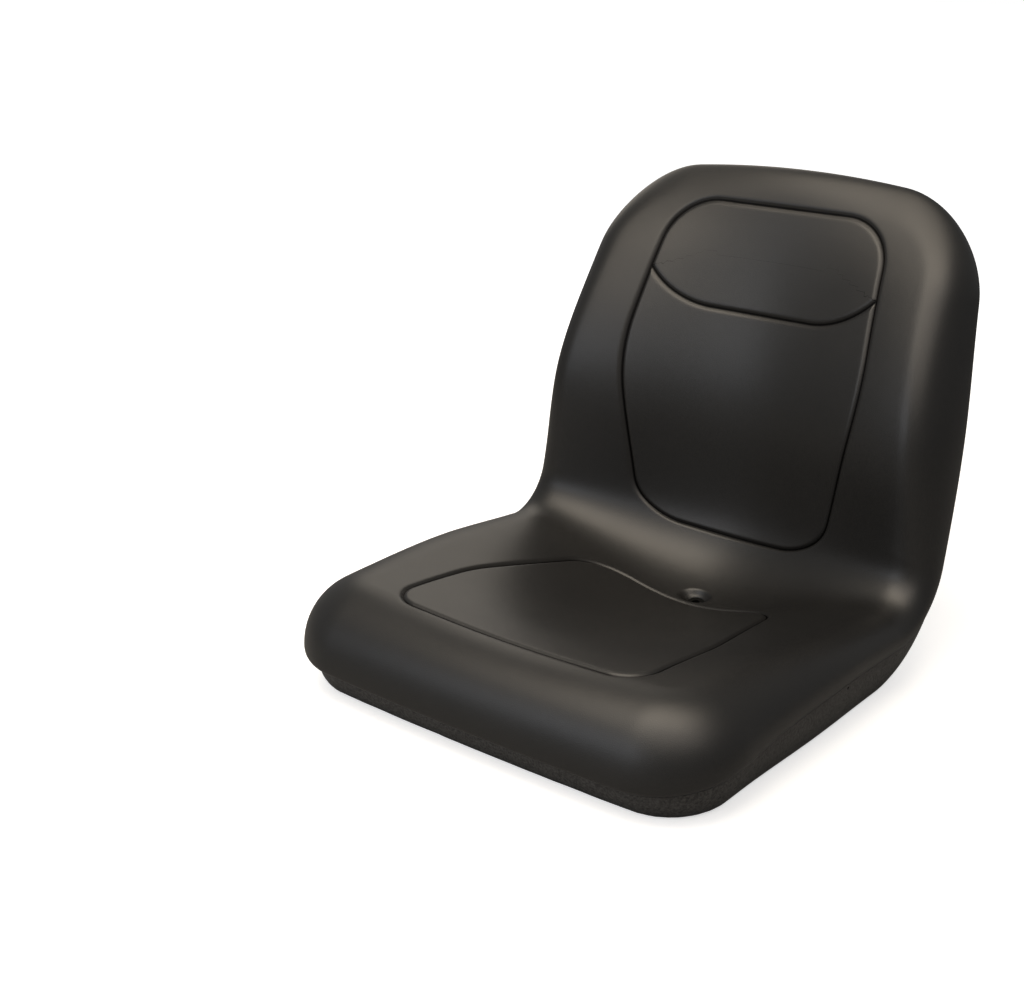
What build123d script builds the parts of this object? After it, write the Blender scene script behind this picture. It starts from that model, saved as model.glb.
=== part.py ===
"""Operator seat: a bucket-shaped cushion of skinned foam on a pressed pan.

The sitter faces -Y and +Z is up. The origin is at the centre of the mounting bolts, on the pan's underside.
Forms are laid out along the spine, the centre line of the pan's underside, which runs back from the front
edge, round the bend and up the back. A place on the seat is given by x, its distance across, and s, its
distance along the spine, and heights are measured square to the spine.
"""
from build123d import *
from bisect import bisect_right
from math import acos, cos, hypot, pi, radians, sin, sqrt
import os

# Driving dimensions in millimetres and degrees
# Spine
seat_run = 340
bend_radius = 136
recline = 14.5
back_run = 364

# Cross sections at nine stations: four along the seat, one in the bend, four up the back
half_width = [242, 241, 244, 243, 244, 243, 237, 223, 210]
centre_height = [101, 84, 56, 37, 30, 35, 62, 61, 55]
crest_height = [99, 100, 97, 87, 82, 88, 112, 92, 44]
rim_height = [24, 42, 49, 47, 43, 36, 29, 24, 21]
bulge_height = [10, 15, 17, 15, 14, 15, 17, 17, 15]
edge_roll = [74, 60, 51, 43, 40, 40, 41, 41, 41]
crest_inset = 3

# Outline, laid out flat
front_corner = 78
top_corner = 88
front_bow = 6.5
top_bow = 26

# Pan
pan_wall = 2
pan_corner = 19
filling_rise = 5
lip_overhang = 12.5
pan_gap = 0.6
base_facing = 0.4
core_margin = 10
core_slope = 70
vent_radius = 1.6
vent_below_rim = 7
vent_places = [265, 452, 597]

# Pressed stiffening beads
bead_width = 22
bead_depth = 5
bead_taper = 35
bead_spacing = 110
seat_bead_length = 190
back_bead_length = 210

# Moulded panel grooves, with corners given across and along: from the front edge, or down from the top
groove_width = 7
groove_depth = 2.2
groove_start = 12
seat_panel = [(141, 62), (143, 178), (111, 345)]
seat_panel_radii = [32, 200, 55]
back_panel = [(126, 44), (144, 219), (110, 401)]
back_panel_radii = [56, 290, 60]
head_line_drop = 157
head_line_straight = 58
head_line_radius = 104
head_line_turn = 46

# Drain
drain_place = 371
drain_recess = 6
drain_dimple_taper = 55
drain_bore = 4
drain_wall = 2
drain_flange = 9
drain_flange_thickness = 2

# Mounting
bolt_spacing_x = 292.1
bolts_behind_edge = 47.125
bolts_before_bend = 7.125
thread_radius = 4
bolt_hole_radius = 4.5
nut_across_flats = 12.7
nut_height = 7
nut_flange_radius = 9
nut_flange_height = 1.6
bolt_room = 12

bolt_spacing_y = seat_run - bolts_behind_edge - bolts_before_bend
bolts_behind_front = bolts_behind_edge + bolt_spacing_y / 2
bend_turn = radians(90 - recline)
bend_length = bend_radius * bend_turn
spine_length = seat_run + bend_length + back_run
stations = [
    0, seat_run / 3, seat_run * 2 / 3, seat_run, seat_run + bend_length / 2, seat_run + bend_length,
    spine_length - back_run * 2 / 3, spine_length - back_run / 3, spine_length,
]
edge_angles = [90, 87, 83, 77, 72, 67, 60]
middle_angles = [47, 32, 16, 0, -16, -32, -47]
curve_angles = [-a for a in edge_angles] + middle_angles[::-1] + edge_angles[::-1]
edge_points = len(edge_angles)
section_count = 30
end_step = 0.5


def along(values, s):
    """Value at s on a smooth curve through one value for each station."""
    i = min(bisect_right(stations, s), len(stations) - 1) - 1
    span = stations[i + 1] - stations[i]

    def rise(k):
        low = max(k - 1, 0)
        high = min(k + 1, len(stations) - 1)
        return span * (values[high] - values[low]) / (stations[high] - stations[low])

    t = (s - stations[i]) / span
    step = values[i + 1] - values[i]
    start, end = rise(i), rise(i + 1)
    return values[i] + t * (start + t * (3 * step - 2 * start - end + t * (start + end - 2 * step)))


def section_plane(s):
    """Plane across the seat at s, with its own y axis pointing from the spine to the sitter."""
    turn = min(max(s - seat_run, 0) / bend_radius, bend_turn)
    up_back = max(s - seat_run - bend_length, 0)
    y = min(s, seat_run) + bend_radius * sin(turn) + up_back * cos(turn) - bolts_behind_front
    z = bend_radius * (1 - cos(turn)) + up_back * sin(turn)
    return Plane(origin=(0, y, z), x_dir=(1, 0, 0), z_dir=(0, -cos(turn), -sin(turn)))


def edge_distance(x, s):
    """Distance inside the cushion's outline: straight sides, bowed ends and round corners."""
    bow = (x / max(half_width)) ** 2
    side = along(half_width, s) - abs(x)
    if s < spine_length / 2:
        end, corner = s - front_bow * bow, front_corner
    else:
        end, corner = spine_length - s - top_bow * bow, top_corner
    if side < corner and end < corner:
        return corner - hypot(corner - side, corner - end)
    return min(side, end)


def reach(s, inset):
    """Half width at s of the outline moved in by inset, found by halving."""
    low, high = 0, along(half_width, s)
    for _ in range(40):
        middle = (low + high) / 2
        if edge_distance(middle, s) > inset:
            low = middle
        else:
            high = middle
    return high


def quarter(t):
    """Height of a quarter circle, from 0 at its foot to 1 at its crown."""
    t = min(max(t, 0), 1)
    return sqrt(t * (2 - t))


def sitting_height(x, s):
    """The dished upper face, which rolls over to the cushion's widest line."""
    centre, crest = along(centre_height, s), along(crest_height, s)
    t = min(abs(x) / (along(half_width, s) - crest_inset), 1)
    dish = centre + (crest - centre) * t * t * (3 - 2 * t)
    widest = along(rim_height, s) + along(bulge_height, s)
    return widest + (dish - widest) * quarter(edge_distance(x, s) / along(edge_roll, s))


def core_dip(x, s):
    """How far the joint between the cushion's upper body and its filling sinks inside the pan's rim."""
    t = (edge_distance(x, s) - lip_overhang - pan_wall - core_margin) / core_slope
    t = min(max(t, 0), 1)
    return (along(centre_height, s) / 2 - along(rim_height, s)) * t * t * (3 - 2 * t)


def lip_height(x, s):
    """The cushion's lower lip, which tucks in from its widest line to the rim of the pan."""
    lip = along(bulge_height, s) * (1 - quarter(edge_distance(x, s) / lip_overhang))
    return along(rim_height, s) + lip + core_dip(x, s)


def tray_height(x, s, inset, floor, brim):
    """A tray with rolled lower edges, inset from the cushion's outline and brim above the pan's rim."""
    top = along(rim_height, s) + brim
    return top - (top - floor) * quarter((edge_distance(x, s) - inset) / pan_corner)


def section_places(inset):
    """Places of a loft's sections along the spine: close at the ends, and one where the bend starts."""
    length = spine_length - 2 * inset
    first = acos(1 - 2 * end_step / length)
    turns = [first + (pi - 2 * first) * i / section_count for i in range(section_count + 1)]
    places = [inset + length * (1 - cos(turn)) / 2 for turn in turns]
    nearest = min(places, key=lambda s: abs(s - seat_run))
    return [seat_run if s == nearest else s for s in places]


def across(s, inset, height):
    """Points of a curve across the seat at s, closer together towards its edges."""
    span = reach(s, inset)
    places = [span * sin(radians(a)) for a in curve_angles]
    return [(x, height(x, s)) for x in places]


def in_three(points):
    """A curve's points in three runs, its two edges and its middle."""
    return points[:edge_points], points[edge_points - 1:1 - edge_points], points[-edge_points:]


def pad_sections():
    """Sections of the cushion's upper body, between its sitting face and its lip."""
    sections = []
    for s in section_places(0):
        with BuildSketch(section_plane(s)) as section:
            with BuildLine():
                for height in (sitting_height, lip_height):
                    for points in in_three(across(s, 0, height)):
                        Spline(*points)
            make_face()
        sections.append(section.sketch)
    return sections


def tray_sections(inset, floor, brim, dip):
    """Sections of a tray-shaped body whose top is flat or follows the cushion's inner joint."""
    def under(x, s):
        return tray_height(x, s, inset, floor, brim)

    def over(x, s):
        return along(rim_height, s) + brim + dip * core_dip(x, s)

    sections = []
    for s in section_places(inset):
        with BuildSketch(section_plane(s)) as section:
            with BuildLine():
                for points in in_three(across(s, inset, under)):
                    Spline(*points)
                Spline(*reversed(across(s, inset, over)))
            make_face()
        sections.append(section.sketch)
    return sections


def normal_plane(s):
    """Plane on the spine at s that faces the sitter, with its own y axis along the spine."""
    section = section_plane(s)
    return Plane(origin=section.origin, x_dir=section.x_dir, z_dir=section.y_dir)


def on_plane(plane, x, s):
    """Where the place at x and s on the sitting face lies on plane, seen square to it."""
    point = plane.to_local_coords(section_plane(s).from_local_coords((x, sitting_height(x, s))))
    return point.X, point.Y


def panel_outline(plane, corners, radii):
    """A panel's closed outline on plane, from the corners of its right half."""
    right = [on_plane(plane, x, s) for x, s in corners]
    left = [(-x, y) for x, y in reversed(right)]
    with BuildLine() as outline:
        FilletPolyline(*right, *left, radius=radii + radii[::-1], close=True)
    return outline.line


def head_line(plane):
    """The line that curves across the back panel below its head end."""
    level = on_plane(plane, 0, spine_length - head_line_drop)[1]
    with BuildLine() as line:
        middle = Line((-head_line_straight, level), (head_line_straight, level))
        JernArc(middle @ 1, middle % 1, head_line_radius, head_line_turn)
        JernArc(middle @ 0, -(middle % 0), head_line_radius, -head_line_turn)
    return line.line


def groove(plane, line, body):
    """What a groove along line takes from body: a wall square to plane, less body sunk by its depth."""
    with BuildPart() as cut:
        with BuildSketch(plane):
            trace(line, line_width=groove_width)
        extrude(amount=max(crest_height) + max(half_width))
        add(body.moved(Location(plane.z_dir * -groove_depth)), mode=Mode.SUBTRACT)
    return cut.part


def beads(plane, length, grow):
    """A pair of pressed beads that rise from plane, grown all round by grow."""
    with BuildPart() as pair:
        with BuildSketch(plane):
            with GridLocations(bead_spacing, 0, 2, 1):
                SlotOverall(length + 2 * grow, bead_width + 2 * grow, rotation=90)
        extrude(amount=bead_depth + grow, taper=bead_taper)
    return pair.part


def all_beads(grow):
    """The beads of the seat and of the back."""
    return [beads(Plane.XY, seat_bead_length, grow), beads(back_plane, back_bead_length, grow)]


back_plane = normal_plane(spine_length - back_run / 2).offset(-base_facing)
drain_plane = normal_plane(drain_place)
drain_top = sitting_height(0, drain_place) - drain_recess
drain_radius = drain_bore + drain_wall
pan_floor = pan_wall - base_facing
filling_inset = lip_overhang + pan_wall + pan_gap
nut_plane = Plane.XY.offset(pan_floor + pan_gap)
seat_groove_plane = Plane.XY.offset(groove_start)
back_groove_plane = back_plane.offset(groove_start)

with BuildPart() as foam:
    loft(pad_sections(), ruled=True)
    loft(tray_sections(filling_inset, pan_floor + pan_gap, filling_rise, dip=1), ruled=True)

with BuildPart() as cushion:
    add(foam.part)
    seat_outline = panel_outline(seat_groove_plane, seat_panel, seat_panel_radii)
    back_corners = [(x, spine_length - drop) for x, drop in back_panel]
    back_outline = panel_outline(back_groove_plane, back_corners, back_panel_radii)
    add(groove(seat_groove_plane, seat_outline, foam.part), mode=Mode.SUBTRACT)
    add(groove(back_groove_plane, back_outline, foam.part), mode=Mode.SUBTRACT)
    add(groove(back_groove_plane, head_line(back_groove_plane), foam.part), mode=Mode.SUBTRACT)
    add(all_beads(pan_wall + 2 * pan_gap), mode=Mode.SUBTRACT)
    # Pockets for the nuts and the ends of their bolts
    with BuildSketch(Plane.XY):
        with GridLocations(bolt_spacing_x, bolt_spacing_y, 2, 2):
            Circle(nut_flange_radius + pan_gap)
    extrude(amount=pan_floor + nut_height + bolt_room, mode=Mode.SUBTRACT)
    # Drain hole, the seat of its flange and the dimple above it
    with BuildSketch(drain_plane):
        Circle(drain_radius + pan_gap)
    extrude(amount=drain_top, mode=Mode.SUBTRACT)
    with BuildSketch(drain_plane.offset(drain_top - drain_flange_thickness - pan_gap)):
        Circle(drain_flange + pan_gap)
    extrude(amount=drain_flange_thickness + pan_gap, mode=Mode.SUBTRACT)
    with BuildSketch(drain_plane.offset(drain_top)):
        Circle(drain_flange + pan_gap)
    extrude(amount=drain_recess * 2, taper=-drain_dimple_taper, mode=Mode.SUBTRACT)
cushion.part.label = "cushion"

with BuildPart() as seat_pan:
    loft(tray_sections(lip_overhang, -base_facing, -pan_gap, dip=0), ruled=True)
    inside = tray_sections(lip_overhang + pan_wall, pan_floor, filling_rise, dip=0)
    loft(inside, ruled=True, mode=Mode.SUBTRACT)
    add(all_beads(pan_wall))
    add(all_beads(0), mode=Mode.SUBTRACT)
    split(bisect_by=Plane.XY, keep=Keep.TOP)
    with GridLocations(bolt_spacing_x, bolt_spacing_y, 2, 2):
        Hole(bolt_hole_radius)
    with BuildSketch(drain_plane):
        Circle(drain_radius + pan_gap)
    extrude(amount=drain_radius, both=True, mode=Mode.SUBTRACT)
    for place in vent_places:
        vent_height = along(rim_height, place) - vent_below_rim
        vent_centre = section_plane(place).from_local_coords((0, vent_height))
        with BuildSketch(Plane(origin=vent_centre, z_dir=(1, 0, 0))):
            Circle(vent_radius)
        extrude(amount=max(half_width), both=True, mode=Mode.SUBTRACT)
seat_pan.part.label = "seat_pan"

with BuildPart() as drain_tube:
    with BuildSketch(drain_plane):
        Circle(drain_radius)
    extrude(amount=drain_top)
    with BuildSketch(drain_plane.offset(drain_top - drain_flange_thickness)):
        Circle(drain_flange)
    extrude(amount=drain_flange_thickness)
    with BuildSketch(drain_plane):
        Circle(drain_bore)
    extrude(amount=drain_top, mode=Mode.SUBTRACT)
drain_tube.part.label = "drain_tube"

with BuildPart() as mounting_nuts:
    with BuildSketch(nut_plane):
        with GridLocations(bolt_spacing_x, bolt_spacing_y, 2, 2):
            Circle(nut_flange_radius)
    extrude(amount=nut_flange_height)
    with BuildSketch(nut_plane):
        with GridLocations(bolt_spacing_x, bolt_spacing_y, 2, 2):
            RegularPolygon(nut_across_flats / 2, 6, major_radius=False)
    extrude(amount=nut_height)
    with BuildSketch(nut_plane):
        with GridLocations(bolt_spacing_x, bolt_spacing_y, 2, 2):
            Circle(thread_radius)
    extrude(amount=nut_height, mode=Mode.SUBTRACT)
mounting_nuts.part.label = "mounting_nuts"

os.makedirs("parts", exist_ok=True)
export_step(cushion.part, "parts/cushion.step")
export_step(seat_pan.part, "parts/seat_pan.step")
export_step(drain_tube.part, "parts/drain_tube.step")
export_step(mounting_nuts.part, "parts/mounting_nuts.step")
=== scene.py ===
from math import cos, hypot, pi, radians, sin

import bmesh
import bpy
import numpy as np
from mathutils import Matrix, Vector
from mathutils.kdtree import KDTree


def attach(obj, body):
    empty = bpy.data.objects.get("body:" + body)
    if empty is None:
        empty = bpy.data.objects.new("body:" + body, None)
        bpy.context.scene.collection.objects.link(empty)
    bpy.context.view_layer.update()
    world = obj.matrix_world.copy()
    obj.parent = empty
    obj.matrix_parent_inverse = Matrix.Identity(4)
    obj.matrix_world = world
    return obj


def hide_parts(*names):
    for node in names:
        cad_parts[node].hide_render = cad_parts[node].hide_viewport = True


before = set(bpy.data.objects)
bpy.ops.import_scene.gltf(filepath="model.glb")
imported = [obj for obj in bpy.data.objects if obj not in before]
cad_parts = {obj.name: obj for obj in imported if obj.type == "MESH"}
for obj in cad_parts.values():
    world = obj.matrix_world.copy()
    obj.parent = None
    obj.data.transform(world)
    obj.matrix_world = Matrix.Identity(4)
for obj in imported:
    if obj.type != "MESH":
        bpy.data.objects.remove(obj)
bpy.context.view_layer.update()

# The seat's form, in millimetres and degrees, as in the part's source
seat_run = 340
bend_radius = 136
back_run = 364
recline = 14.5
bolts_behind_front = 190
half_width = [242, 241, 244, 243, 244, 243, 237, 223, 210]
centre_height = [101, 84, 56, 37, 30, 35, 62, 61, 55]
crest_height = [99, 100, 97, 87, 82, 88, 112, 92, 44]
rim_height = [24, 42, 49, 47, 43, 36, 29, 24, 21]
bulge_height = [10, 15, 17, 15, 14, 15, 17, 17, 15]
edge_roll = [74, 60, 51, 43, 40, 40, 41, 41, 41]
crest_inset = 3
front_corner, front_bow = 78, 6.5
top_corner, top_bow = 88, 26
lip_overhang = 12.5
pan_inset = 15.1
pan_corner = 19
pan_gap = 0.6
base_facing = 0.4
section_count, end_step = 30, 0.5
drain_place = 371
drain_recess = 6

# Panel grooves: corners as distances across and along, with their radii
seat_panel = [(141, 62), (143, 178), (111, 345)]
seat_panel_radii = [32, 200, 55]
back_panel = [(126, 44), (144, 219), (110, 401)]
back_panel_radii = [56, 290, 60]
head_line_drop = 157
head_line_straight = 58
head_line_radius = 104
head_line_turn = radians(46)

# What the skins have of their own, in millimetres: softer and deeper grooves, a wider gap under
# the lip, how far in from the edge the painted shade on the lip's underside starts, and the
# drain's opening and dimple
groove_depth = 2.9
groove_half_width = 3.4
groove_sharpness, groove_power = 1.5, 1.7
groove_end_depth = 3
lip_gap = 1.8
seam_shade = 1.9
filling_floor = 12
drain_hole = 6.3
drain_seat = 9.8
drain_step = 2.6
dimple_radius = 20

# How foam eases the change of curve at the bend: the length it spreads over, and for the rim, the
# seat and the back the place where the easing starts and the run over which it grows
settle_length = 18
ease_span, ease_samples = 2.4, 13
ease_rim, ease_rim_run = 8, 45
ease_seat, ease_seat_run = 170, 80
ease_back, ease_back_run = 790, 60

# The cushion's mesh: counts across half an end, round a corner and along a side, rings in from
# the edge, and the reach in millimetres of the finer mesh at the grooves and round the drain
skin_counts = (42, 24, 186)
roll_zone, roll_rings = 62, 18
lip_rings, filling_rings = 8, 5
fine_reach, drain_margin, fine_cuts = 8, 3, 2
path_step, corner_points = 0.25, 24
settle_rounds = 12
upper_side, lower_side = 0, -1
between_sides = (upper_side + lower_side) / 2
# Marks for the lip's underside: the first takes the painted shade of a groove's middle, the second takes
# none
painted_shade_mark, unshaded_mark = 0, 99

# The pan's mesh, with lengths in metres
pan_mesh_step = 0.016
weld_distance = 1e-5
split_rounds = 7
halvings = 40
sharp_angle = radians(32)

per_metre = 1000
bend_turn = radians(90 - recline)
bend_end = seat_run + bend_radius * bend_turn
spine_length = bend_end + back_run
stations = np.array([
    0, seat_run / 3, seat_run * 2 / 3, seat_run,
    seat_run + bend_radius * bend_turn / 2, bend_end,
    spine_length - back_run * 2 / 3, spine_length - back_run / 3, spine_length,
])


def along(values, s):
    """Values at s on a smooth curve through one value for each station."""
    values = np.asarray(values, float)
    last = len(stations) - 1
    i = np.clip(np.searchsorted(stations, s, side="right") - 1, 0, last - 1)
    low = np.maximum(np.arange(last + 1) - 1, 0)
    high = np.minimum(np.arange(last + 1) + 1, last)
    slope = (values[high] - values[low]) / (stations[high] - stations[low])
    span = stations[i + 1] - stations[i]
    t = (s - stations[i]) / span
    step = values[i + 1] - values[i]
    start, end = span * slope[i], span * slope[i + 1]
    return values[i] + t * (start + t * (3 * step - 2 * start - end + t * (start + end - 2 * step)))


def place(x, s, height):
    """Points in the part's frame, in metres, at x across, s along and height above the spine."""
    turn = np.clip((s - seat_run) / bend_radius, 0, bend_turn)
    up_back = np.maximum(s - seat_run - bend_radius * bend_turn, 0)
    y = np.minimum(s, seat_run) + bend_radius * np.sin(turn) + up_back * np.cos(turn) - bolts_behind_front
    z = bend_radius * (1 - np.cos(turn)) + up_back * np.sin(turn)
    return np.stack([x, y - height * np.sin(turn), z + height * np.cos(turn)], -1) / per_metre


def edge_distance(x, s):
    """Distance inside the cushion's outline: straight sides, bowed ends and round corners."""
    bow = (x / max(half_width)) ** 2
    side = along(half_width, s) - np.abs(x)
    front = s < spine_length / 2
    end = np.where(front, s - front_bow * bow, spine_length - s - top_bow * bow)
    corner = np.where(front, front_corner, top_corner)
    rounded = corner - np.hypot(corner - side, corner - end)
    return np.where((side < corner) & (end < corner), rounded, np.minimum(side, end))


def quarter(t):
    """The rise of a quarter circle, steep at 0 and level at 1."""
    t = np.clip(t, 0, 1)
    return np.sqrt(t * (2 - t))


def smooth(t):
    """An S-curve, level at 0 and at 1."""
    t = np.clip(t, 0, 1)
    return t * t * (3 - 2 * t)


def sitting_height(x, s):
    """The dished upper face, which rolls over to the cushion's widest line."""
    centre, crest = along(centre_height, s), along(crest_height, s)
    t = np.minimum(np.abs(x) / (along(half_width, s) - crest_inset), 1)
    dish = centre + (crest - centre) * t * t * (3 - 2 * t)
    widest = along(rim_height, s) + along(bulge_height, s)
    return widest + (dish - widest) * quarter(edge_distance(x, s) / along(edge_roll, s))


def under_height(x, s):
    """The lip that tucks in to the pan's rim, and the filling below it inside the pan."""
    d = edge_distance(x, s)
    rim = along(rim_height, s)
    lip = rim + lip_gap + (along(bulge_height, s) - lip_gap) * (1 - quarter(d / lip_overhang))
    floor = np.minimum(filling_floor, rim)
    return np.where(d < pan_inset, lip, rim - (rim - floor) * quarter((d - pan_inset) / pan_corner))


def upper_place(x, s, lowered):
    """Points on the upper face, lowered in places and eased into and out of the bend."""
    own = place(x, s, sitting_height(x, s) - lowered)
    eased, total = np.zeros_like(own), 0
    for offset in np.linspace(-ease_span, ease_span, ease_samples):
        weight = np.exp(-offset * offset / 2)
        near_s = np.clip(s + offset * settle_length, 0, spine_length)
        eased += weight * place(x, near_s, sitting_height(x, near_s) - lowered)
        total += weight
    inside = smooth((edge_distance(x, s) - ease_rim) / ease_rim_run)
    share = inside * smooth((s - ease_seat) / ease_seat_run) * smooth((ease_back - s) / ease_back_run)
    return own + (eased / total - own) * share[:, None]


def rounded_loop(corners, radii):
    """Points along a closed path of straight runs with a round corner of each radius."""
    pts = [np.array(c, float) for c in corners]
    n = len(pts)
    out = []
    for i in range(n):
        p, a, b = pts[i], pts[i - 1] - pts[i], pts[(i + 1) % n] - pts[i]
        a, b = a / np.linalg.norm(a), b / np.linalg.norm(b)
        half = np.arccos(np.clip(a @ b, -1, 1)) / 2
        centre = p + (a + b) / np.linalg.norm(a + b) * radii[i] / np.sin(half)
        start = p + a * radii[i] / np.tan(half) - centre
        stop = p + b * radii[i] / np.tan(half) - centre
        sweep = np.arctan2(start[0] * stop[1] - start[1] * stop[0], start @ stop)
        angles = np.linspace(0, sweep, corner_points)[:, None]
        side = np.array([-start[1], start[0]])
        out.append(centre + start * np.cos(angles) + side * np.sin(angles))
    path = np.concatenate(out + [out[0][:1]])
    lengths = np.concatenate([[0], np.cumsum(np.linalg.norm(np.diff(path, axis=0), axis=1))])
    places = np.arange(0, lengths[-1], path_step)
    return np.stack([np.interp(places, lengths, path[:, k]) for k in (0, 1)], -1)


def panel(corners, radii, from_top):
    """A closed panel outline from the corners of its right half."""
    half = [(x, spine_length - s if from_top else s) for x, s in corners]
    return rounded_loop(half + [(-x, s) for x, s in reversed(half)], radii + radii[::-1])


def head_line():
    """The groove across the back panel below its head end: a straight middle and ends that turn up."""
    level = spine_length - head_line_drop
    turn = np.arange(0, head_line_turn, path_step / head_line_radius)
    right = np.stack([head_line_straight + head_line_radius * np.sin(turn),
                      level + head_line_radius * (1 - np.cos(turn))], -1)
    across = np.arange(-head_line_straight, head_line_straight, path_step)
    middle = np.stack([across, np.full_like(across, level)], -1)
    return np.concatenate([right[::-1] * (-1, 1), middle, right])


groove_paths = [
    panel(seat_panel, seat_panel_radii, False),
    panel(back_panel, back_panel_radii, True),
    head_line(),
]
groove_points = np.concatenate(groove_paths)
groove_ways = np.concatenate([np.gradient(path, axis=0) for path in groove_paths])
grooves = KDTree(len(groove_points))
for number, point in enumerate(groove_points):
    grooves.insert((*point, 0), number)
grooves.balance()


def groove_distance(x, s):
    """Distance from the nearest groove's middle, with a sign for the side."""
    _, number, apart = grooves.find((x, s, 0))
    way, off = groove_ways[number], np.array((x, s)) - groove_points[number]
    return apart if way[0] * off[1] - way[1] * off[0] > 0 else -apart


def ring(d, across_count, corner_count, side_count):
    """The outline moved in by d, from the middle of the front edge round to the right: x and s."""
    def end_place(x, end, front):
        bow = (x / max(half_width)) ** 2
        return end + front_bow * bow if front else spine_length - end - top_bow * bow

    def round_corner(corner, front):
        turn = np.linspace(pi / 2, 0, corner_count + 1)
        side, end = corner - (corner - d) * np.cos(turn), corner - (corner - d) * np.sin(turn)
        s = end if front else spine_length - end
        for _ in range(settle_rounds):
            x = along(half_width, s) - side
            s = end_place(x, end, front)
        return x, s

    fx, fs = round_corner(front_corner, True)
    tx, ts = round_corner(top_corner, False)
    share = np.linspace(0, 1, across_count + 1)[:-1]
    front_x, top_x = share * fx[0], (share * tx[0])[::-1]
    side_s = np.linspace(fs[-1], ts[-1], side_count + 1)[1:-1]
    x = np.concatenate([front_x, fx, along(half_width, side_s) - d, tx[::-1], top_x])
    s = np.concatenate([end_place(front_x, d, True), fs, side_s, ts[::-1], end_place(top_x, d, False)])
    return np.concatenate([x, -x[-2:0:-1]]), np.concatenate([s, s[-2:0:-1]])


def coons(x, s, across_count, corner_count, side_count):
    """Grid inside a ring, with its corners in the middle of the ring's round corners: indices and places."""
    n = len(x)
    wide, tall = 2 * across_count + corner_count, side_count + corner_count
    first = -(across_count + corner_count // 2)
    front = [(first + i) % n for i in range(wide + 1)]
    right = [(first + wide + i) % n for i in range(tall + 1)]
    top = [(first + wide + tall + wide - i) % n for i in range(wide + 1)]
    left = [(first - i) % n for i in range(tall + 1)]
    u, v = np.linspace(0, 1, wide + 1)[None, :], np.linspace(0, 1, tall + 1)[:, None]
    grids = []
    for a in (x, s):
        f, t, l, r = a[front][None, :], a[top][None, :], a[left][:, None], a[right][:, None]
        corners = ((1 - u) * (1 - v) * f[0, 0] + u * (1 - v) * f[0, -1]
                   + (1 - u) * v * t[0, 0] + u * v * t[0, -1])
        grids.append((1 - v) * f + v * t + (1 - u) * l + u * r - corners)
    index = np.full((tall + 1, wide + 1), -1)
    index[0], index[-1], index[:, 0], index[:, -1] = front, top, left, right
    return index, grids[0], grids[1]


def eased_insets(furthest, count):
    """Distances in from an edge, closest together at the edge."""
    return [furthest * (1 - cos(t)) for t in np.linspace(0, pi / 2, count + 1)[1:]]


def flat_cushion():
    """The cushion's skin laid out flat: x and s in millimetres, with z for the upper or the lower side."""
    bm = bmesh.new()

    def ring_verts(d, z):
        x, s = ring(d, *skin_counts)
        return [bm.verts.new((float(a), float(b), z)) for a, b in zip(x, s)], x, s

    def quad(corners, z):
        bm.faces.new(corners if z == upper_side else corners[::-1])

    def bridge(outer, inner, z):
        n = len(outer)
        for i in range(n):
            j = (i + 1) % n
            quad([outer[i], outer[j], inner[j], inner[i]], z)

    def fill(verts, x, s, z):
        index, gx, gs = coons(x, s, *skin_counts)
        grid = [[verts[k] if k >= 0 else bm.verts.new((float(gx[i, j]), float(gs[i, j]), z))
                 for j, k in enumerate(row)] for i, row in enumerate(index)]
        for i in range(len(grid) - 1):
            for j in range(len(grid[0]) - 1):
                quad([grid[i][j], grid[i][j + 1], grid[i + 1][j + 1], grid[i + 1][j]], z)

    edge, _, _ = ring_verts(0, upper_side)
    filling_insets = [pan_inset + d for d in eased_insets(pan_corner, filling_rings)]
    lower_insets = eased_insets(lip_overhang, lip_rings) + [pan_inset] + filling_insets
    for insets, z in ((eased_insets(roll_zone, roll_rings), upper_side), (lower_insets, lower_side)):
        previous = edge
        for d in insets:
            verts, x, s = ring_verts(d, z)
            bridge(previous, verts, z)
            previous = verts
        fill(previous, x, s, z)
    return bm


def fine(face):
    """Whether a face of the flat skin's upper side lies near a groove or the drain."""
    c = face.calc_center_median()
    if c.z < between_sides:
        return False
    by_drain = hypot(c.x, c.y - drain_place) < dimple_radius + drain_margin
    return by_drain or grooves.find((c.x, c.y, 0))[2] < fine_reach


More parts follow.
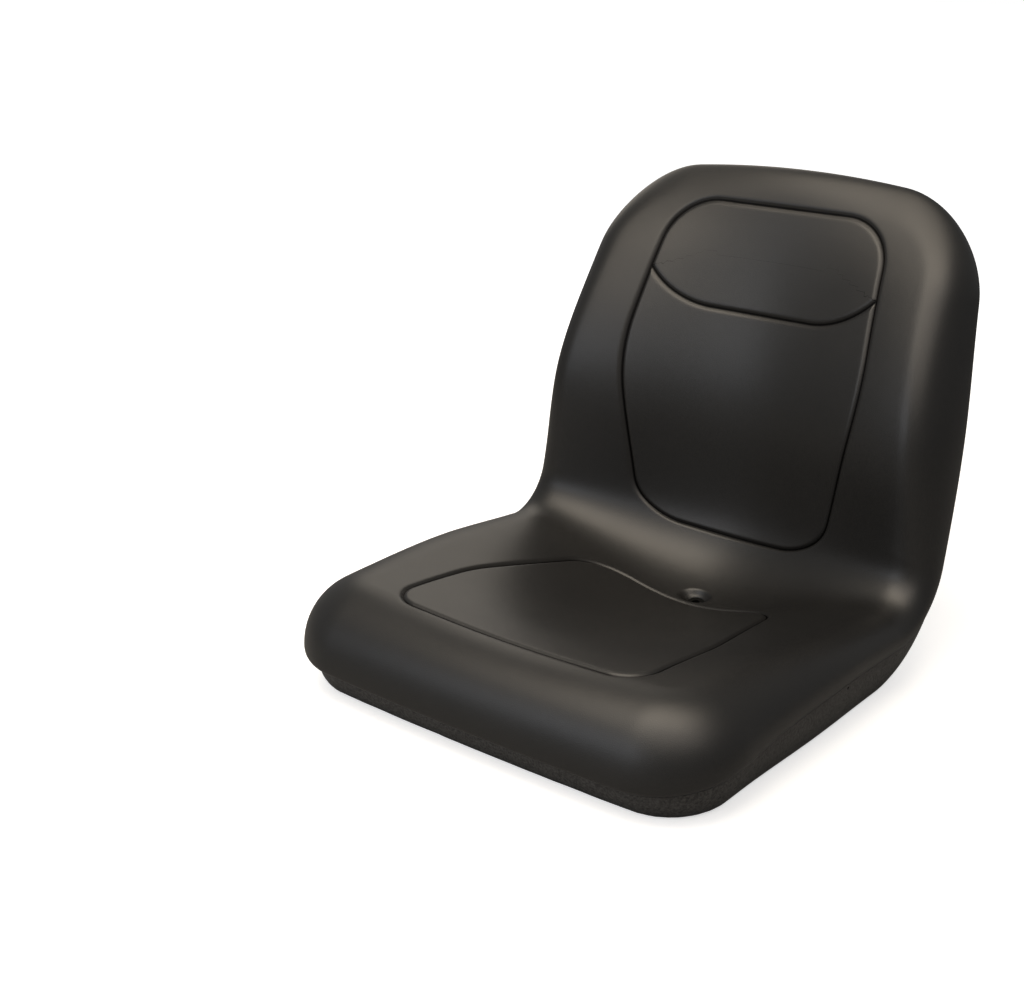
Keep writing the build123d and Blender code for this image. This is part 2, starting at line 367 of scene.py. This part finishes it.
def cushion_mesh():
    """The cushion's skin, with each point's distance from a groove, or a mark on the lip's underside, which
    sets where painted shade darkens the vinyl.
    """
    bm = flat_cushion()
    edges = list({e for f in bm.faces if fine(f) for e in f.edges})
    bmesh.ops.subdivide_edges(bm, edges=edges, cuts=fine_cuts, use_grid_fill=True)
    drain = Vector((0, drain_place))
    holes = [f for f in bm.faces if hypot(*(f.calc_center_median().xy - drain)) < drain_hole]
    bmesh.ops.delete(bm, geom=holes, context="FACES")
    flat = np.array([v.co for v in bm.verts])
    x, s, upper = flat[:, 0], flat[:, 1], flat[:, 2] > between_sides
    apart = np.array([groove_distance(a, b) for a, b in zip(x, s)])
    groove = np.exp(-np.abs(apart / groove_half_width * groove_sharpness) ** groove_power) * groove_depth
    round_drain = np.hypot(x, s - drain_place)
    dimple = smooth((dimple_radius - round_drain) / (dimple_radius - drain_seat)) * drain_recess
    pressed = np.maximum(dimple, groove * (dimple < groove_end_depth))
    lowered = np.where(round_drain < drain_seat, dimple + drain_step, pressed)
    placed = np.where(upper[:, None], upper_place(x, s, lowered), place(x, s, under_height(x, s)))
    for v, p in zip(bm.verts, placed):
        v.co = p
    bmesh.ops.recalc_face_normals(bm, faces=bm.faces)
    mesh = bpy.data.meshes.new("cushion_skin")
    bm.to_mesh(mesh)
    bm.free()
    mesh.shade_smooth()
    marks = mesh.attributes.new("groove_distance", "FLOAT", "POINT")
    # Painted shade under the lip: its underside further in than seam_shade gets a groove middle's dark tone,
    # the rest none
    tucked = edge_distance(x, s) > seam_shade
    marks.data.foreach_set("value", np.where(upper, apart, np.where(tucked, painted_shade_mark, unshaded_mark)))
    return mesh


def reach(s):
    """Half width at s of the pan's outline, found by halving."""
    low, high = np.zeros_like(s), along(half_width, s)
    for _ in range(halvings):
        middle = (low + high) / 2
        inside = edge_distance(middle, s) > lip_overhang
        low, high = np.where(inside, middle, low), np.where(inside, high, middle)
    return high


def pan_place(u, s):
    """Points on the pan's outer face at the share u of its half width."""
    x = u * reach(s)
    top = along(rim_height, s) - pan_gap
    roll = quarter((edge_distance(x, s) - lip_overhang) / pan_corner)
    return place(x, s, top - (top + base_facing) * roll)


def section_places():
    """Where the solid pan has its sections, between which it runs straight."""
    length = spine_length - 2 * lip_overhang
    first = np.arccos(1 - 2 * end_step / length)
    turns = np.linspace(first, pi - first, section_count + 1)
    places = lip_overhang + length * (1 - np.cos(turns)) / 2
    places[np.argmin(np.abs(places - seat_run))] = seat_run
    return places


def pan_skin():
    """The solid pan's faces, moved from their straight runs onto the curves through its sections."""
    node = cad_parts["seat_pan"]
    bm = bmesh.new()
    bm.from_mesh(node.data)
    bm.transform(node.matrix_world)
    bmesh.ops.remove_doubles(bm, verts=bm.verts, dist=weld_distance)
    for _ in range(split_rounds):
        long = [e for e in bm.edges if e.calc_length() > pan_mesh_step]
        if not long:
            break
        bmesh.ops.subdivide_edges(bm, edges=long, cuts=1)
        bmesh.ops.triangulate(bm, faces=bm.faces)
    found = np.array([v.co for v in bm.verts])
    cuts = section_places()
    turn = np.clip((cuts - seat_run) / bend_radius, 0, bend_turn)
    ways = np.stack([np.zeros_like(cuts), np.cos(turn), np.sin(turn)], -1)
    origins = place(np.zeros_like(cuts), cuts, np.zeros_like(cuts))
    ahead = found @ ways.T - (origins * ways).sum(-1)
    i = np.clip((ahead > 0).sum(1) - 1, 0, len(cuts) - 2)
    rows = np.arange(len(found))
    before, after = ahead[rows, i], -ahead[rows, i + 1]
    share = np.clip(before / (before + after), 0, 1)
    widths = reach(cuts)
    width = widths[i] + (widths[i + 1] - widths[i]) * share
    u = np.clip(found[:, 0] * per_metre / width, -1, 1)
    start, stop = pan_place(u, cuts[i]), pan_place(u, cuts[i + 1])
    curve = pan_place(u, cuts[i] + (cuts[i + 1] - cuts[i]) * share)
    moved = found + curve - start - (stop - start) * share[:, None]
    for v, co in zip(bm.verts, moved):
        v.co = co
        v.co.z = max(v.co.z, 0)
    for face in bm.faces:
        face.smooth = True
    for edge in bm.edges:
        edge.smooth = len(edge.link_faces) == 2 and edge.calc_face_angle(0) < sharp_angle
    mesh = bpy.data.meshes.new("pan_skin")
    bm.to_mesh(mesh)
    bm.free()
    return mesh


def material(name):
    """A new material with its nodes, links and shader."""
    m = bpy.data.materials.new(name)
    m.use_nodes = True
    return m, m.node_tree.nodes, m.node_tree.links, m.node_tree.nodes["Principled BSDF"]


def add(nodes, kind, **values):
    """A new node, with its settings and inputs by name."""
    node = nodes.new(kind)
    for key, value in values.items():
        if hasattr(node, key):
            setattr(node, key, value)
        else:
            node.inputs[key.replace("_", " ")].default_value = value
    return node


def ranged(nodes, links, source, low, high, **limits):
    """A value from 0 to 1, or from other limits, spread over low to high."""
    node = add(nodes, "ShaderNodeMapRange", To_Min=low, To_Max=high, **limits)
    links.new(source, node.inputs["Value"])
    return node.outputs["Result"]


def product(nodes, links, source, factor):
    """A value times a number or another value."""
    node = add(nodes, "ShaderNodeMath", operation="MULTIPLY")
    links.new(source, node.inputs[0])
    if isinstance(factor, float):
        node.inputs[1].default_value = factor
    else:
        links.new(factor, node.inputs[1])
    return node.outputs[0]


def noise(nodes, links, scale, detail, **values):
    """Noise laid out in the object's own coordinates."""
    spot = add(nodes, "ShaderNodeTexCoord")
    node = add(nodes, "ShaderNodeTexNoise", Scale=scale, Detail=detail, **values)
    links.new(spot.outputs["Object"], node.inputs["Vector"])
    return node.outputs["Fac"]


def raise_grain(nodes, links, shader, height, strength, depth):
    """A surface that rises and falls by depth, in metres, with a height from 0 to 1."""
    bump = add(nodes, "ShaderNodeBump", Strength=strength, Distance=depth)
    links.new(height, bump.inputs["Height"])
    links.new(bump.outputs["Normal"], shader.inputs["Normal"])


def vinyl():
    """Black satin vinyl with a fine pressed grain, with painted shade in the grooves and under the lip."""
    m, nodes, links, shader = material("vinyl")
    pores = noise(nodes, links, 2600.0, 3.0)
    cloud = noise(nodes, links, 14.0, 4.0)
    spot = add(nodes, "ShaderNodeTexCoord")
    grain = add(nodes, "ShaderNodeTexVoronoi", Scale=1150.0, Randomness=1.0)
    links.new(spot.outputs["Object"], grain.inputs["Vector"])
    pressed = add(nodes, "ShaderNodeMath", operation="MULTIPLY_ADD")
    pressed.inputs[1].default_value = 0.5
    links.new(pores, pressed.inputs[0])
    links.new(grain.outputs["Distance"], pressed.inputs[2])
    raise_grain(nodes, links, shader, pressed.outputs[0], strength=0.2, depth=0.00025)

    # Painted shade: colour and shine fall in the grooves and on the lip's underside, set by the
    # groove_distance attribute
    apart = add(nodes, "ShaderNodeAttribute", attribute_name="groove_distance")
    size = add(nodes, "ShaderNodeMath", operation="ABSOLUTE")
    links.new(apart.outputs["Fac"], size.inputs[0])
    outside_painted_shade = ranged(nodes, links, size.outputs[0], 0.12, 1.0, From_Min=0.45, From_Max=2.0,
                       interpolation_type="SMOOTHSTEP")
    links.new(product(nodes, links, outside_painted_shade, 0.58), shader.inputs["Specular IOR Level"])
    links.new(ranged(nodes, links, cloud, 0.38, 0.46), shader.inputs["Roughness"])

    # The dye's random tone, times the painted shade
    dye_and_painted_shade = product(nodes, links, ranged(nodes, links, cloud, 0.0045, 0.0075), outside_painted_shade)
    colour = add(nodes, "ShaderNodeCombineColor")
    for channel, share in (("Red", 1.04), ("Green", 1.0), ("Blue", 0.96)):
        links.new(product(nodes, links, dye_and_painted_shade, share), colour.inputs[channel])
    links.new(colour.outputs["Color"], shader.inputs["Base Color"])
    return m


def stippled(name, colour, rough, grain_size, strength, shine):
    """A coating with a fine stipple, its grain size in millimetres."""
    m, nodes, links, shader = material(name)
    stipple = noise(nodes, links, per_metre / grain_size, 5.0, Roughness=0.62)
    patches = noise(nodes, links, 22.0, 3.0)
    raise_grain(nodes, links, shader, stipple, strength, depth=0.0006)
    tone = add(nodes, "ShaderNodeMix", data_type="RGBA")
    tone.inputs["A"].default_value = (*[c * 0.35 for c in colour], 1)
    tone.inputs["B"].default_value = (*[c * 1.65 for c in colour], 1)
    specks = ranged(nodes, links, stipple, 0.0, 1.0, From_Min=0.36, From_Max=0.64)
    links.new(specks, tone.inputs["Factor"])
    links.new(tone.outputs["Result"], shader.inputs["Base Color"])
    links.new(ranged(nodes, links, patches, rough - 0.08, rough + 0.08), shader.inputs["Roughness"])
    shader.inputs["Specular IOR Level"].default_value = shine
    return m


def zinc():
    """Zinc-plated steel with fine turning marks."""
    m, nodes, links, shader = material("zinc")
    marks = noise(nodes, links, 900.0, 4.0)
    links.new(ranged(nodes, links, marks, 0.28, 0.5), shader.inputs["Roughness"])
    shader.inputs["Base Color"].default_value = (0.6, 0.58, 0.53, 1)
    shader.inputs["Metallic"].default_value = 1.0
    return m


def linked(name, data):
    """A new object in the scene."""
    made = bpy.data.objects.new(name, data)
    bpy.context.scene.collection.objects.link(made)
    return made


def dress(node, finish):
    """A solid's own mesh with a finish."""
    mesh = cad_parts[node].data
    mesh.materials.clear()
    mesh.materials.append(finish)


cushion = linked("cushion_skin", cushion_mesh())
cushion.data.materials.append(vinyl())
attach(cushion, "root")
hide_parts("cushion")

pan = linked("pan_skin", pan_skin())
pan.data.materials.append(stippled(
    "stippled_coat", (0.052, 0.0505, 0.048), rough=0.5, grain_size=2.1, strength=1.0, shine=0.5))
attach(pan, "root")
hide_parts("seat_pan")

dress("drain_tube", stippled(
    "drain_plastic", (0.002, 0.002, 0.002), rough=0.8, grain_size=0.8, strength=0.15, shine=0.12))
dress("mounting_nuts", zinc())


def stage():
    """A plain pale floor, even to the camera and less bright in what the seat mirrors."""
    far = 90
    mesh = bpy.data.meshes.new("floor")
    mesh.from_pydata([(-far, -far, 0), (far, -far, 0), (far, far, 0), (-far, far, 0)], [], [(0, 1, 2, 3)])
    floor = linked("floor", mesh)
    m, nodes, links, shader = material("pale_floor")
    shader.inputs["Roughness"].default_value = 0.9
    shader.inputs["Specular IOR Level"].default_value = 0.0
    shader.inputs["Emission Color"].default_value = (1, 1, 1, 1)
    seen = add(nodes, "ShaderNodeLightPath").outputs["Is Camera Ray"]
    links.new(ranged(nodes, links, seen, 0.3, 0.85), shader.inputs["Base Color"])
    spot = add(nodes, "ShaderNodeTexCoord")
    away = add(nodes, "ShaderNodeVectorMath", operation="LENGTH")
    links.new(spot.outputs["Object"], away.inputs[0])
    even = ranged(nodes, links, away.outputs["Value"], 0.62, 0.93, From_Min=0.5, From_Max=2.0,
                  interpolation_type="SMOOTHSTEP")
    links.new(product(nodes, links, seen, even), shader.inputs["Emission Strength"])
    mesh.materials.append(m)


def area_light(name, place_at, look_at, size, power, colour):
    """A soft lamp, in metres and watts."""
    light = bpy.data.lights.new(name, "AREA")
    light.shape = "RECTANGLE"
    light.size, light.size_y = size
    light.energy = power
    light.color = colour
    lamp = linked(name, light)
    lamp.location = place_at
    lamp.rotation_euler = (Vector(look_at) - Vector(place_at)).to_track_quat("-Z", "Y").to_euler()


def camera():
    """The photograph's view: where it stood, its small roll, and where the seat lies in its frame."""
    azimuth, elevation, roll = radians(35.0), radians(16.8), radians(2.1)
    target, distance = Vector((0, 0.070, 0.230)), 1.436
    picture_width, picture_height, focal_length = 1024, 1000, 1518.4
    target_across, target_down = 643.6, 439.6
    back = Vector((sin(azimuth) * cos(elevation), -cos(azimuth) * cos(elevation), sin(elevation)))
    level = Vector((cos(azimuth), sin(azimuth), 0))
    upright = back.cross(level)
    right = level * cos(roll) + upright * sin(roll)
    up = upright * cos(roll) - level * sin(roll)
    data = bpy.data.cameras.new("camera")
    data.sensor_width = 36
    data.lens = data.sensor_width * focal_length / picture_width
    data.shift_x = (picture_width / 2 - target_across) / picture_width
    data.shift_y = (target_down - picture_height / 2) / picture_width
    data.clip_end = 300
    made = linked("camera", data)
    turn = Matrix((right, up, back)).transposed().to_4x4()
    made.matrix_world = Matrix.Translation(target + back * distance) @ turn
    bpy.context.scene.camera = made


def surroundings():
    """White to the camera, and dimmer in what the seat mirrors."""
    world = bpy.data.worlds.new("studio")
    world.use_nodes = True
    nodes, links = world.node_tree.nodes, world.node_tree.links
    backdrop = nodes["Background"]
    backdrop.inputs["Color"].default_value = (1, 1, 1, 1)
    seen = add(nodes, "ShaderNodeLightPath").outputs["Is Camera Ray"]
    links.new(ranged(nodes, links, seen, 0.24, 1.0), backdrop.inputs["Strength"])
    bpy.context.scene.world = world


stage()
camera()
aim = (0, 0.08, 0.25)
area_light("overhead", (0.0, -0.3, 2.15), aim, (1.8, 1.1), 26, (1.0, 0.88, 0.72))
area_light("front_right", (0.75, -0.85, 1.65), aim, (1.8, 1.2), 12, (1.0, 0.9, 0.8))
area_light("front_left", (-0.45, -0.95, 1.7), aim, (0.9, 0.9), 10, (1.0, 0.9, 0.76))
area_light("back_left", (-1.1, 1.25, 1.0), aim, (1.2, 1.0), 4.5, (1.0, 0.9, 0.76))
area_light("low_front", (-0.6, -1.7, 0.85), (0, 0.08, 0.3), (1.4, 0.7), 6, (0.88, 0.92, 1.0))
surroundings()
bpy.context.scene.view_settings.view_transform = "Standard"
